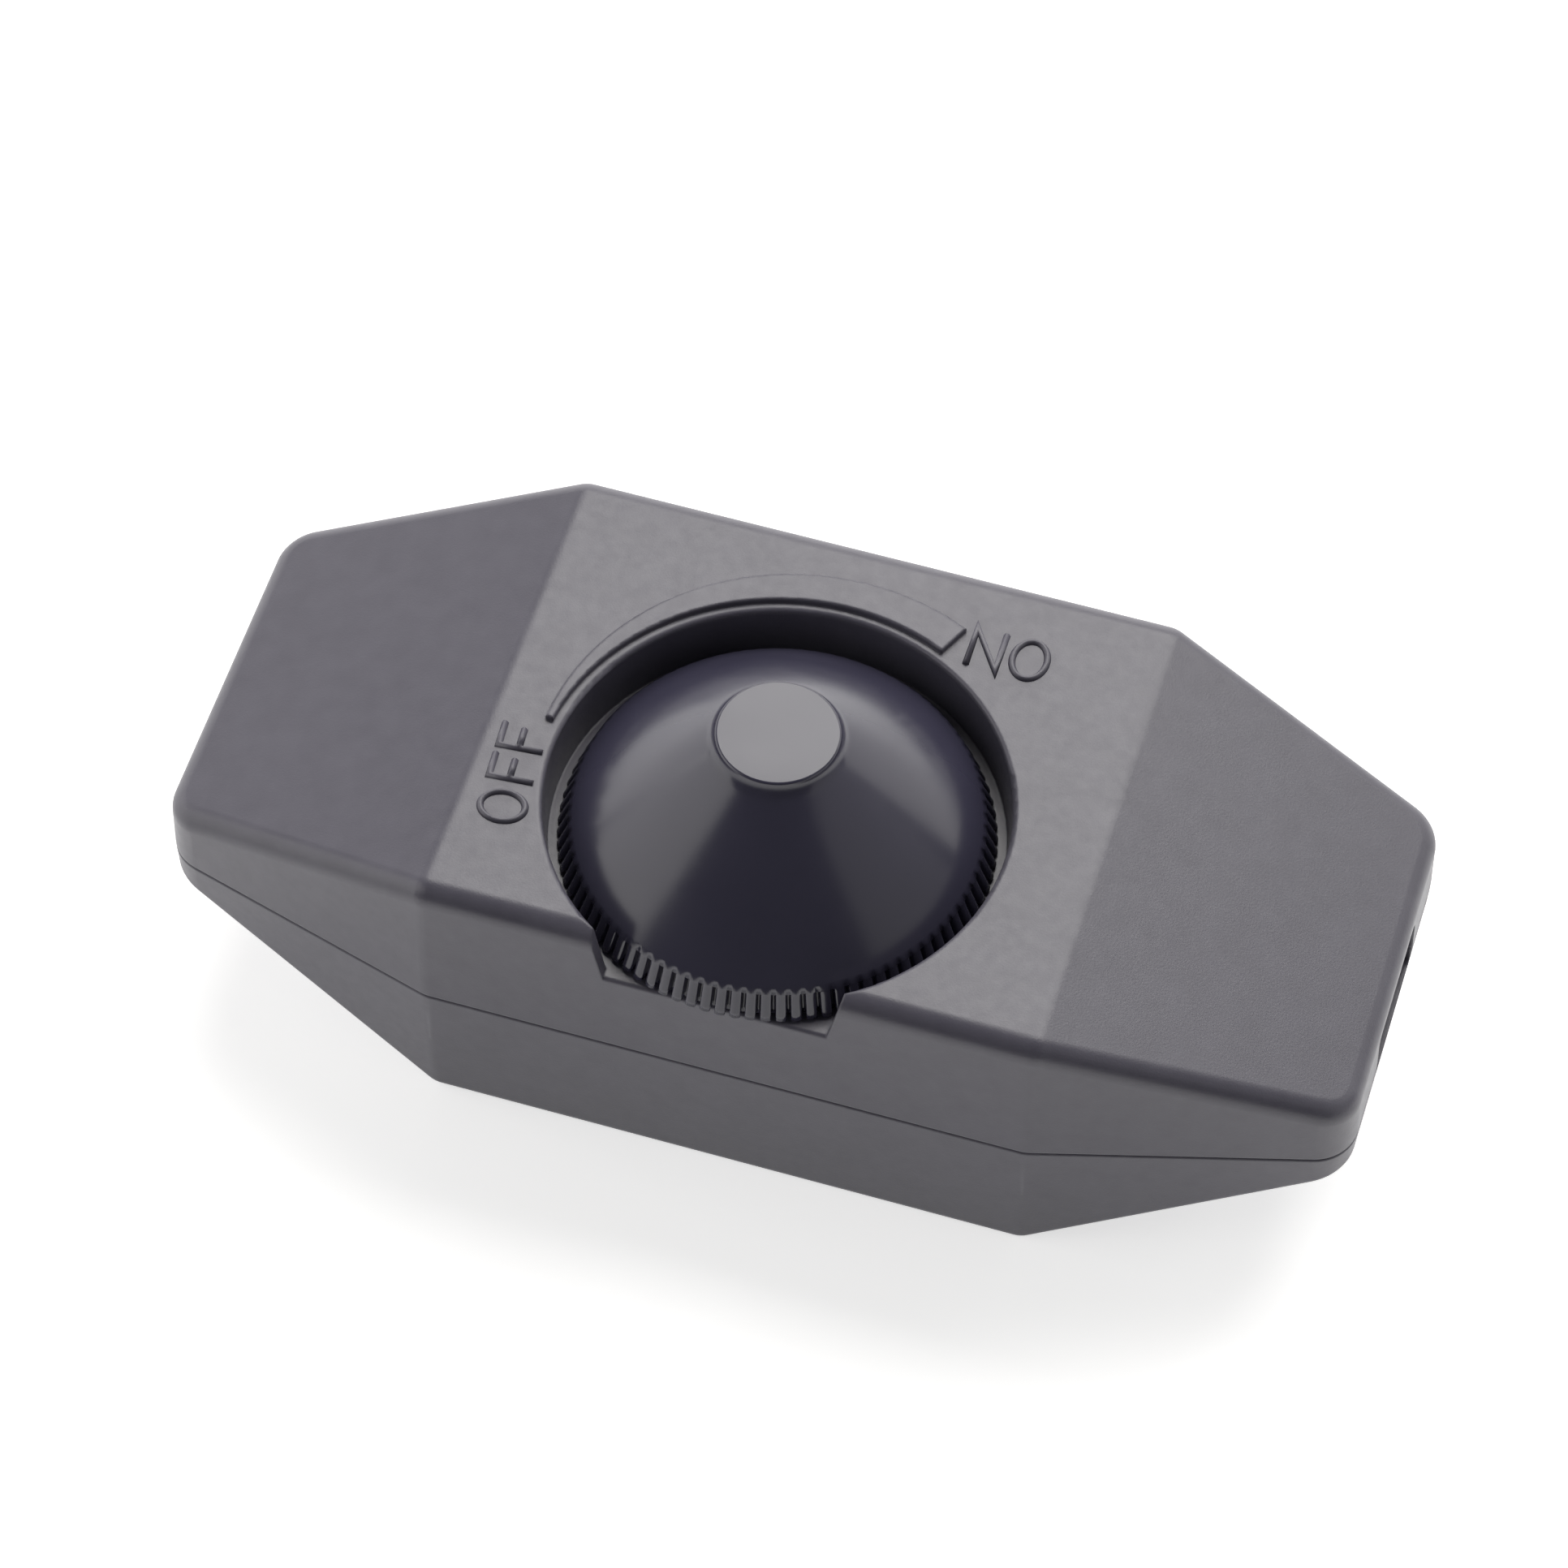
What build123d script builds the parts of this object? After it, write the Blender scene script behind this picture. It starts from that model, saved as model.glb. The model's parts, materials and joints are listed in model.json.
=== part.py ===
from build123d import *
import math
import os

# In-line rotary lamp dimmer, millimetres.
# +X runs along the cord, -Y is the side with the thumb window, +Z is up.
# The origin is the middle of the flat underside.

# Outer form: an octagon in plan whose roof and floor slope towards both ends
length = 85.0
width = 37.6
end_width = 25.8
panel_length = 42.8
crown_z = 24.5
end_top_z = 17.1
end_bottom_z = 9.9
parting_z = 12.2
upper_draft = 1.1
lower_draft = 2.2
end_corner_radius = 3.2
inner_end_corner_radius = 0.6
flank_corner_radius = 2.5
crease_radius = 2.5
roof_edge_radius = 1.5
floor_edge_radius = 0.7
facet_tilt_limit = 37.0
parting_bevel = 0.15
wall = 1.8

# Lap joint between the two covers
lap_height = 0.9
lap_clearance = 0.12

# Round well for the knob
knob_x = -0.6
knob_y = -4.15
well_radius = 16.0
well_floor_radius = 15.75
well_floor_z = 20.1
well_floor_thickness = 1.5
well_edge_radius = 0.3
window_half_width = 7.9
window_top_half_width = 8.8
window_depth = 2.6
window_sill_radius = 0.3
spindle_hole_clearance = 0.4

# Raised crescent between the two words, given by its ends and its crown
crescent_relief = 0.45
crescent_edge_radius = 0.15
crescent_inner_gap = 0.7
crescent_start_angle = 174.0
crescent_end_angle = 64.5
crescent_start_width = 0.55
crescent_middle_width = 1.95
crescent_end_width = 2.6

# Knob: a ribbed rim, a domed flank and a flat finger disc on a short neck
knob_tip_radius = 15.4
knob_valley_depth = 1.1
knob_rib_crest = 0.4
knob_rib_count = 90
knob_rib_share = 0.64
knob_floor_gap = 0.25
knob_rim_height = 0.55
knob_rim_bulge = 0.22
knob_shoulder_radius = 14.3
knob_shoulder_z = 22.4
knob_flank_bulge = 0.45
knob_neck_radius = 4.55
knob_neck_z = 31.75
knob_disc_radius = 4.25
knob_disc_edge_radius = 0.45
knob_top_z = 32.6
knob_wall = 1.7
knob_hub_radius = 4.4

# Spindle and rotary control
spindle_radius = 3.0
spindle_flat = 1.5
spindle_flat_start_z = 21.2
spindle_tip_z = 28.6
hub_clearance = 0.03
bush_clearance = 0.05
bush_radius = 3.75
bush_flange_width = 1.0
bush_flange_thickness = 0.8
bush_top_gap = 0.3
control_radius = 8.3
control_height = 7.4
control_can_wall = 0.4
rotor_radius = 6.9
rotor_thickness = 1.6
track_inner_radius = 4.6
track_outer_radius = 7.2
track_thickness = 0.5
track_gap_angle = 50.0
wiper_width = 1.4
wiper_thickness = 0.3
moving_gap = 0.3
control_base_thickness = 1.4
control_pin_pitch = 5.0
control_pin_size = 0.9

# Circuit board
board_bottom_z = 6.2
board_thickness = 1.6
board_half_length = 25.6
board_half_width = 15.0
board_corner_cut = 3.6
board_post_radius = 2.1
board_post_x = 16.4
board_post_y = 12.4
board_screw_radius = 1.0
board_screw_head_radius = 1.9
board_screw_head_height = 1.2
board_screw_length = 5.2
lead_radius = 0.35
lead_hole_radius = 0.45
lead_tail = 1.1

# Parts on the board
triac_body_length = 9.0
triac_body_width = 10.0
triac_body_height = 4.4
triac_tab_length = 6.4
triac_tab_thickness = 1.3
triac_tab_hole_radius = 1.8
triac_pitch = 2.54
triac_lead_width = 0.8
triac_x = -15.2
triac_y = 10.0
suppressor_size = (12.6, 5.0, 9.8)
suppressor_position = (3.6, 10.2)
suppressor_pitch = 10.0
timing_size = (7.2, 3.6, 7.6)
timing_position = (16.2, 8.4)
timing_pitch = 5.0
box_corner_radius = 0.5
choke_core_radius = 4.1
choke_bore_radius = 2.0
choke_core_height = 5.0
choke_wire_radius = 0.6
choke_flange_thickness = 1.0
choke_turn_crest = 0.4
choke_hole_clearance = 0.1
choke_x = 12.9
choke_y = -9.2
resistor_radius = 1.25
resistor_length = 6.6
resistor_pitch = 10.2
resistor_rows = ((-15.4, -5.4), (-15.4, -8.8))
diac_radius = 0.95
diac_length = 4.0
diac_pitch = 7.6
diac_position = (12.9, 2.0)

# Screw terminals at both ends of the board
terminal_length = 6.8
terminal_width = 9.6
terminal_height = 8.4
terminal_pitch = 5.2
terminal_bore_radius = 1.7
terminal_cage_wall = 0.5
terminal_screw_radius = 1.3
terminal_screw_length = 3.6
terminal_slot_width = 0.5
terminal_slot_depth = 0.6
terminal_top_recess = 0.4

# Cord inlets in both end faces
inlet_width = 10.2
inlet_bottom_z = 10.9
inlet_top_z = 15.6
inlet_corner_radius = 0.8

# Cord clamps behind the inlets
clamp_inset = 7.2
clamp_length = 3.0
clamp_half_span = 9.2
clamp_thickness = 1.6
clamp_underside_z = 14.2
clamp_ridge = 0.5
clamp_screw_y = 6.9
clamp_post_radius = 2.2
clamp_screw_radius = 1.2
clamp_screw_head_radius = 2.0
clamp_screw_head_height = 1.1
clamp_screw_length = 6.2
saddle_half_width = 4.4
saddle_top_z = 11.0

# Cover screws, driven from below
cover_screw_x = 29.6
cover_screw_y = 9.4
cover_boss_radius = 3.1
upper_boss_radius = 2.7
cover_screw_radius = 1.45
cover_screw_clearance = 0.2
cover_screw_head_radius = 2.45
cover_screw_head_height = 1.8
cover_screw_recess_clearance = 0.3
cover_screw_seat_z = 8.2
cover_screw_length = 9.6
cover_pilot_clearance = 0.05
cross_recess_width = 0.6
cross_recess_length = 2.6
cross_recess_depth = 1.0

# Values worked out from the sizes above
clamp_x = length / 2 - clamp_inset
board_top_z = board_bottom_z + board_thickness
control_top_z = board_top_z + control_height
knob_bottom_z = well_floor_z + knob_floor_gap
END_SIDES = (-1, 1)
UP = (Align.CENTER, Align.CENTER, Align.MIN)


def post(radius, bottom, top, x=0.0, y=0.0):
    """Upright round bar between two heights."""
    return Pos(x, y, bottom) * Cylinder(radius, top - bottom, align=UP)


def block(size_x, size_y, bottom, top, x=0.0, y=0.0):
    """Upright rectangular bar between two heights."""
    return Pos(x, y, bottom) * Box(size_x, size_y, top - bottom, align=UP)


def joined(pieces):
    """One shape that keeps every given solid."""
    return Compound(children=list(pieces))


def plan_outline(inset):
    """Octagonal plan, drawn in by inset, with round end corners and soft flank corners."""
    reach = length / 2
    corners = [
        (reach, end_width / 2),
        (panel_length / 2, width / 2),
        (-panel_length / 2, width / 2),
        (-reach, end_width / 2),
        (-reach, -end_width / 2),
        (-panel_length / 2, -width / 2),
        (panel_length / 2, -width / 2),
        (reach, -end_width / 2),
    ]
    face = Polygon(*corners, align=None)
    if inset > 0:
        face = offset(face, amount=-inset, kind=Kind.INTERSECTION)
    ends = face.vertices().filter_by(lambda v: abs(v.X) > panel_length / 2 + wall)
    face = fillet(ends, max(end_corner_radius - inset, inner_end_corner_radius))
    flanks = face.vertices().filter_by(lambda v: abs(v.X) < panel_length / 2 + wall)
    return fillet(flanks, flank_corner_radius)


def ridge_profile(inset, ridge_z, end_z):
    """Side view between the parting plane and a ridge that falls to both ends."""
    side = 1 if ridge_z > parting_z else -1
    slope = math.atan2(abs(ridge_z - end_z), (length - panel_length) / 2)
    crease_x = panel_length / 2 - inset * math.tan(slope / 2)
    flat_z = ridge_z - side * inset
    tip_z = end_z - side * inset / math.cos(slope)
    corners = [
        (-length / 2, parting_z),
        (length / 2, parting_z),
        (length / 2, tip_z),
        (crease_x, flat_z),
        (-crease_x, flat_z),
        (-length / 2, tip_z),
    ]
    face = Polygon(*corners, align=None)
    creases = face.vertices().filter_by(lambda v: abs(v.X) < length / 2 - wall)
    return Plane.XZ * fillet(creases, crease_radius)


def half_form(inset, ridge_z, end_z, draft):
    """Closed half of the housing's form, drawn in by inset."""
    side = 1 if ridge_z > parting_z else -1
    plan = Pos(0, 0, parting_z) * plan_outline(inset)
    prism = extrude(plan, amount=abs(ridge_z - parting_z), dir=(0, 0, side), taper=draft)
    return prism & extrude(ridge_profile(inset, ridge_z, end_z), amount=width, both=True)


def soften_ridge(form, ridge_z, radius):
    """Round the edges of the roof or floor facets and bevel the parting edge."""
    side = 1 if ridge_z > parting_z else -1
    parting = form.edges().filter_by(lambda e: abs(e.position_at(0.5).Z - parting_z) < parting_bevel)
    form = chamfer(parting, parting_bevel)
    rise = math.cos(math.radians(facet_tilt_limit))
    facets = form.faces().filter_by(lambda f: f.normal_at().Z * side > rise)
    rim = []
    for edge in form.edges():
        owners = [f for f in facets if any(edge.is_same(e) for e in f.edges())]
        middle = edge.position_at(0.5)
        if len(owners) == 1 and abs(middle.Z - parting_z) > lap_height:
            rim.append(edge)
    return fillet(rim, radius)


def inlet_tunnel():
    """Rounded slots through both end walls."""
    middle_z = (inlet_bottom_z + inlet_top_z) / 2
    outline = RectangleRounded(inlet_width, inlet_top_z - inlet_bottom_z, inlet_corner_radius)
    slots = []
    for end in END_SIDES:
        plane = Plane(origin=(end * length / 2, 0, middle_z), x_dir=(0, 1, 0), z_dir=(end, 0, 0))
        slots.append(extrude(plane * outline, amount=end_corner_radius, both=True))
    return slots


def well_pocket(margin, bottom):
    """Tapering round pocket round the knob's axis, margin wider than the well."""
    taper = (well_radius - well_floor_radius) / (crown_z - well_floor_z)
    low = well_floor_radius + margin + (bottom - well_floor_z) * taper
    high = well_radius + margin
    pocket = Cone(low, high, crown_z - bottom, align=UP)
    return Pos(knob_x, knob_y, bottom) * pocket


def well_edge_cutter():
    """Ring that rounds the well's upper edge."""
    inner = well_radius - well_edge_radius
    foot = crown_z - well_edge_radius
    bend = well_edge_radius * (1 - math.sqrt(0.5))
    outline = [
        Line((inner, foot), (well_radius, foot)),
        ThreePointArc((well_radius, foot), (well_radius + bend, crown_z - bend),
                      (well_radius + well_edge_radius, crown_z)),
        Line((well_radius + well_edge_radius, crown_z), (inner, crown_z)),
        Line((inner, crown_z), (inner, foot)),
    ]
    return Pos(knob_x, knob_y, 0) * revolve(Plane.XZ * make_face(outline), axis=Axis.Z)


def window_cutter():
    """Thumb window in the front wall, wider at its top."""
    face = Polygon(
        (knob_x - window_half_width, well_floor_z),
        (knob_x + window_half_width, well_floor_z),
        (knob_x + window_top_half_width, crown_z),
        (knob_x - window_top_half_width, crown_z),
        align=None)
    inside = Plane.XZ.offset(width / 2 - window_depth)
    return extrude(inside * face, amount=window_depth + wall)


def on_window_sill(edge):
    """Whether an edge is the outer edge of the thumb window's sill."""
    middle = edge.position_at(0.5)
    return abs(middle.Z - well_floor_z) < window_sill_radius and middle.Y < window_depth - width / 2


def polar_point(radius, angle):
    """Point round the knob's axis, angle in degrees from +X."""
    turn = math.radians(angle)
    return (knob_x + radius * math.cos(turn), knob_y + radius * math.sin(turn))


def crescent():
    """Raised tapering crescent that follows the well's edge."""
    inner = well_radius + crescent_inner_gap
    middle = (crescent_start_angle + crescent_end_angle) / 2
    start_in = polar_point(inner, crescent_start_angle)
    middle_in = polar_point(inner, middle)
    end_in = polar_point(inner, crescent_end_angle)
    start_out = polar_point(inner + crescent_start_width, crescent_start_angle)
    middle_out = polar_point(inner + crescent_middle_width, middle)
    end_out = polar_point(inner + crescent_end_width, crescent_end_angle)
    outline = [
        ThreePointArc(start_in, middle_in, end_in),
        Line(end_in, end_out),
        ThreePointArc(end_out, middle_out, start_out),
        Line(start_out, start_in),
    ]
    base = Pos(0, 0, crown_z - crescent_relief) * make_face(outline)
    form = extrude(base, amount=2 * crescent_relief, dir=(0, 0, 1))
    return fillet(form.edges().group_by(Axis.Z)[-1], crescent_edge_radius)


def cover_screw_points():
    """Plan positions of the four cover screws."""
    return [(i * cover_screw_x, j * cover_screw_y) for i in END_SIDES for j in (-1, 1)]


def clamp_screw_points():
    """Plan positions of the four cord clamp screws."""
    return [(i * clamp_x, j * clamp_screw_y) for i in END_SIDES for j in (-1, 1)]


def board_screw_points():
    """Plan positions of the two screws that hold the board."""
    return [(-board_post_x, -board_post_y), (board_post_x, board_post_y)]


def make_top_cover():
    """Upper shell with the knob's well, thumb window and raised crescent."""
    outer = soften_ridge(half_form(0, crown_z, end_top_z, upper_draft), crown_z, roof_edge_radius)
    hollow = half_form(wall, crown_z, end_top_z, upper_draft)
    inside = well_pocket(wall, well_floor_z - well_floor_thickness) & outer
    shell = outer - hollow + inside
    for x, y in cover_screw_points():
        shell += post(upper_boss_radius, parting_z + moving_gap, crown_z, x, y) & outer
    rebate_plan = plan_outline(wall / 2) - plan_outline(wall)
    rebate = extrude(Pos(0, 0, parting_z) * rebate_plan, amount=lap_height + lap_clearance)
    shell -= rebate
    shell -= well_pocket(0, well_floor_z)
    shell -= well_edge_cutter()
    shell -= window_cutter()
    sill = shell.edges().filter_by(Axis.X).filter_by(on_window_sill)
    shell = fillet(sill, window_sill_radius)
    shell -= post(spindle_radius + spindle_hole_clearance, parting_z, crown_z, knob_x, knob_y)
    for x, y in cover_screw_points():
        reach = cover_screw_seat_z + cover_screw_length + moving_gap
        shell -= post(cover_screw_radius + cover_pilot_clearance, parting_z, reach, x, y)
    for slot in inlet_tunnel():
        shell -= slot
    return shell + crescent()


def make_bottom_cover():
    """Lower shell with the lap tongue, board posts, clamp posts and screw bosses."""
    outer = soften_ridge(half_form(0, 0, end_bottom_z, lower_draft), 0, floor_edge_radius)
    hollow = half_form(wall, 0, end_bottom_z, lower_draft)
    shell = outer - hollow
    tongue_plan = plan_outline(wall / 2 + lap_clearance) - plan_outline(wall)
    shell += extrude(Pos(0, 0, parting_z - lap_height) * tongue_plan, amount=2 * lap_height)
    for x in (-board_post_x, board_post_x):
        for y in (-board_post_y, board_post_y):
            shell += post(board_post_radius, wall / 2, board_bottom_z, x, y)
    for x, y in cover_screw_points():
        shell += post(cover_boss_radius, 0, parting_z, x, y) & outer
    for x, y in clamp_screw_points():
        shell += post(clamp_post_radius, parting_z, clamp_underside_z, x, y)
        shell += post(clamp_post_radius, 0, parting_z, x, y) & outer
    for end in END_SIDES:
        saddle = block(clamp_length, 2 * saddle_half_width, 0, saddle_top_z, end * clamp_x)
        shell += saddle & outer
    for x, y in cover_screw_points():
        shell -= post(cover_screw_radius + cover_screw_clearance, 0, parting_z, x, y)
        shell -= post(cover_screw_head_radius + cover_screw_recess_clearance, 0, cover_screw_seat_z, x, y)
    for x, y in clamp_screw_points():
        bottom = clamp_underside_z + clamp_thickness - clamp_screw_length - moving_gap
        shell -= post(clamp_screw_radius + cover_pilot_clearance, bottom, clamp_underside_z, x, y)
    for x, y in board_screw_points():
        bottom = board_top_z - board_screw_length - moving_gap
        shell -= post(board_screw_radius + cover_pilot_clearance, bottom, board_bottom_z, x, y)
    for slot in inlet_tunnel():
        shell -= slot
    return shell


def rim_outline():
    """Closed outline of rounded ribs round the knob's rim."""
    step = 2 * math.pi / knob_rib_count
    valley = knob_tip_radius - knob_valley_depth
    crest = knob_tip_radius - knob_rib_crest
    edge = knob_rib_share / 2
    wires = []
    for i in range(knob_rib_count):
        def at(radius, share):
            turn = (i + share) * step
            return (radius * math.cos(turn), radius * math.sin(turn))
        wires.append(Line(at(valley, -edge), at(crest, -edge)))
        wires.append(ThreePointArc(at(crest, -edge), at(knob_tip_radius, 0.0), at(crest, edge)))
        wires.append(Line(at(crest, edge), at(valley, edge)))
        wires.append(Line(at(valley, edge), at(valley, 1 - edge)))
    return make_face(wires)


def flank_arc(low, high, bulge):
    """Domed curve between two profile points that bows out from the axis."""
    middle_x = (low[0] + high[0]) / 2
    middle_y = (low[1] + high[1]) / 2
    run = math.hypot(high[0] - low[0], high[1] - low[1])
    normal_x = (high[1] - low[1]) / run
    normal_y = -(high[0] - low[0]) / run
    middle = (middle_x + normal_x * bulge, middle_y + normal_y * bulge)
    return ThreePointArc(low, middle, high)


def make_knob():
    """Domed knob with a flat finger disc, ribbed rim, hollow underside and hub."""
    rim_top_z = knob_bottom_z + knob_rim_height
    shoulder = (knob_shoulder_radius, knob_shoulder_z)
    neck = (knob_neck_radius, knob_neck_z)
    disc_edge = (knob_disc_radius, knob_top_z - knob_disc_edge_radius)
    disc_top = (knob_disc_radius - knob_disc_edge_radius, knob_top_z)
    bend = knob_disc_edge_radius * (1 - math.sqrt(0.5))
    disc_middle = (knob_disc_radius - bend, knob_top_z - bend)
    profile = [
        Line((0, knob_bottom_z), (knob_tip_radius, knob_bottom_z)),
        Line((knob_tip_radius, knob_bottom_z), (knob_tip_radius, rim_top_z)),
        flank_arc((knob_tip_radius, rim_top_z), shoulder, knob_rim_bulge),
        flank_arc(shoulder, neck, knob_flank_bulge),
        Line(neck, disc_edge),
        ThreePointArc(disc_edge, disc_middle, disc_top),
        Line(disc_top, (0, knob_top_z)),
        Line((0, knob_top_z), (0, knob_bottom_z)),
    ]
    body = revolve(Plane.XZ * make_face(profile), axis=Axis.Z)
    teeth = Pos(0, 0, knob_bottom_z) * extrude(rim_outline(), amount=knob_top_z - knob_bottom_z)
    body = body & teeth
    low = (knob_shoulder_radius - knob_wall, knob_shoulder_z - knob_wall)
    high = (knob_neck_radius, knob_neck_z - 2 * knob_wall)
    hollow_profile = [
        Line((0, knob_bottom_z), (low[0], knob_bottom_z)),
        Line((low[0], knob_bottom_z), low),
        flank_arc(low, high, knob_flank_bulge),
        Line(high, (0, high[1])),
        Line((0, high[1]), (0, knob_bottom_z)),
    ]
    hollow = revolve(Plane.XZ * make_face(hollow_profile), axis=Axis.Z)
    hub = post(knob_hub_radius, knob_bottom_z, knob_top_z - knob_wall)
    bore = post(spindle_radius + hub_clearance, knob_bottom_z, spindle_tip_z + hub_clearance)
    flat_y = spindle_radius - spindle_flat + hub_clearance
    key = Pos(0, flat_y, spindle_flat_start_z + hub_clearance) * Box(
        2 * spindle_radius, spindle_radius, spindle_tip_z,
        align=(Align.CENTER, Align.MIN, Align.MIN))
    return Pos(knob_x, knob_y, 0) * (body - hollow + hub - (bore - key))


def make_spindle():
    """Shaft with a flat for the knob and the rotor disc at its foot."""
    rotor_bottom = board_top_z + control_base_thickness + track_thickness + 2 * moving_gap
    shaft = post(spindle_radius, rotor_bottom, spindle_tip_z)
    flat = Pos(0, spindle_radius - spindle_flat, spindle_flat_start_z) * Box(
        2 * spindle_radius, spindle_radius, spindle_tip_z,
        align=(Align.CENTER, Align.MIN, Align.MIN))
    rotor = post(rotor_radius, rotor_bottom + wiper_thickness,
                 rotor_bottom + wiper_thickness + rotor_thickness)
    return Pos(knob_x, knob_y, 0) * (shaft - flat + rotor)


def make_wiper():
    """Spring arm under the rotor that rides over the resistive track."""
    rotor_bottom = board_top_z + control_base_thickness + track_thickness + 2 * moving_gap
    arm = block(wiper_width, 2 * rotor_radius - wiper_width, rotor_bottom,
                rotor_bottom + wiper_thickness)
    eye = post(spindle_radius + wiper_width, rotor_bottom, rotor_bottom + wiper_thickness)
    hole = post(spindle_radius + hub_clearance, rotor_bottom, rotor_bottom + wiper_thickness)
    return Pos(knob_x, knob_y, 0) * (arm + eye - hole)


def make_control_can():
    """Pressed can over the rotary control."""
    can = post(control_radius, board_top_z + control_base_thickness, control_top_z)
    inside = post(control_radius - control_can_wall, board_top_z + control_base_thickness,
                  control_top_z - control_can_wall)
    hole = post(bush_radius - control_can_wall, control_top_z - control_can_wall, control_top_z)
    return Pos(knob_x, knob_y, 0) * (can - inside - hole)


def make_control_base():
    """Insulating base of the rotary control, standing on the board."""
    base = post(control_radius, board_top_z, board_top_z + control_base_thickness)
    for x in (-control_pin_pitch, 0, control_pin_pitch):
        base -= block(control_pin_size, control_pin_size, board_top_z,
                      board_top_z + control_base_thickness, x, -rotor_radius + control_pin_size)
    return Pos(knob_x, knob_y, 0) * base


def make_bush():
    """Bearing bush that stands on the can and guides the spindle."""
    top = well_floor_z - well_floor_thickness - bush_top_gap
    flange = post(bush_radius + bush_flange_width, control_top_z, control_top_z + bush_flange_thickness)
    barrel = post(bush_radius, control_top_z, top)
    bore = post(spindle_radius + bush_clearance, control_top_z, top)
    return Pos(knob_x, knob_y, 0) * (flange + barrel - bore)


def make_track():
    """Horseshoe resistive track on the control's base."""
    bottom = board_top_z + control_base_thickness
    ring = post(track_outer_radius, bottom, bottom + track_thickness)
    ring -= post(track_inner_radius, bottom, bottom + track_thickness)
    half = math.radians(track_gap_angle / 2)
    far = 2 * track_outer_radius
    wedge = Polygon((0, 0), (far * math.sin(half), -far * math.cos(half)),
                    (-far * math.sin(half), -far * math.cos(half)), align=None)
    ring -= extrude(Pos(0, 0, bottom) * wedge, amount=track_thickness)
    return Pos(knob_x, knob_y, 0) * ring


def make_control_pins():
    """Three pins of the rotary control through the board."""
    top = board_top_z + control_base_thickness
    pins = []
    for x in (-control_pin_pitch, 0, control_pin_pitch):
        pins.append(block(control_pin_size, control_pin_size, board_bottom_z - lead_tail, top,
                          knob_x + x, knob_y - rotor_radius + control_pin_size))
    return joined(pins)


def upright_lead_points():
    """Plan positions of every round lead that passes through the board."""
    points = []
    for (x, y), pitch in ((suppressor_position, suppressor_pitch), (timing_position, timing_pitch)):
        points += [(x - pitch / 2, y), (x + pitch / 2, y)]
    return points


def axial_parts():
    """Centre, pitch, body radius and body length of each part that lies along X."""
    parts = [(x, y, resistor_pitch, resistor_radius, resistor_length) for x, y in resistor_rows]
    parts.append((*diac_position, diac_pitch, diac_radius, diac_length))
    return parts


def make_board():
    """Laminate board with cut corners and a hole for every lead, pin and screw."""
    reach_x = board_half_length
    reach_y = board_half_width
    outline = chamfer(Rectangle(2 * reach_x, 2 * reach_y).vertices(), board_corner_cut)
    board = extrude(Pos(0, 0, board_bottom_z) * outline, amount=board_thickness)
    for x, y in upright_lead_points():
        board -= post(lead_hole_radius, board_bottom_z, board_top_z, x, y)
    for x, y, pitch, _, _ in axial_parts():
        for end in END_SIDES:
            board -= post(lead_hole_radius, board_bottom_z, board_top_z, x + end * pitch / 2, y)
    for x, y in triac_lead_points():
        board -= post(triac_lead_width, board_bottom_z, board_top_z, x, y)
    for x, y in terminal_points():
        board -= post(lead_hole_radius + lead_radius, board_bottom_z, board_top_z, x, y)
    for x, y in choke_lead_points():
        board -= post(choke_wire_radius + choke_hole_clearance, board_bottom_z, board_top_z, x, y)
    for x in (-control_pin_pitch, 0, control_pin_pitch):
        board -= post(control_pin_size, board_bottom_z, board_top_z,
                      knob_x + x, knob_y - rotor_radius + control_pin_size)
    for x, y in board_screw_points():
        board -= post(board_screw_radius + cover_pilot_clearance, board_bottom_z, board_top_z, x, y)
    return board


def triac_lead_points():
    """Plan positions of the three triac leads."""
    x = triac_x + triac_body_length / 2 + triac_lead_width + lead_tail
    return [(x, triac_y + i * triac_pitch) for i in (-1, 0, 1)]


def make_triac_body():
    """Moulded body of the triac, lying on the board."""
    return block(triac_body_length, triac_body_width, board_top_z + triac_tab_thickness,
                 board_top_z + triac_body_height, triac_x, triac_y)


def make_triac_frame():
    """Metal tab and three bent leads of the triac."""
    tab_x = triac_x - triac_tab_length / 2
    tab_length = triac_body_length + triac_tab_length
    tab = block(tab_length, triac_body_width, board_top_z, board_top_z + triac_tab_thickness,
                tab_x, triac_y)
    hole_x = triac_x - triac_body_length / 2 - triac_tab_length / 2
    tab -= post(triac_tab_hole_radius, board_top_z, board_top_z + triac_tab_thickness, hole_x, triac_y)
    leads = [tab]
    body_end = triac_x + triac_body_length / 2
    lead_z = board_top_z + triac_body_height / 2 + triac_lead_width
    for x, y in triac_lead_points():
        outer_x = x + triac_lead_width / 2
        run = block(outer_x - body_end, triac_lead_width, lead_z - triac_lead_width, lead_z,
                    (body_end + outer_x) / 2, y)
        drop = block(triac_lead_width, triac_lead_width, board_bottom_z - lead_tail, lead_z, x, y)
        leads.append(run + drop)
    return joined(leads)


def make_box_capacitor(size, position):
    """Potted box capacitor standing on the board."""
    box = block(size[0], size[1], board_top_z, board_top_z + size[2], *position)
    edges = box.edges().filter_by(Axis.Z) + box.edges().group_by(Axis.Z)[-1]
    return fillet(edges, box_corner_radius)


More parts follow.
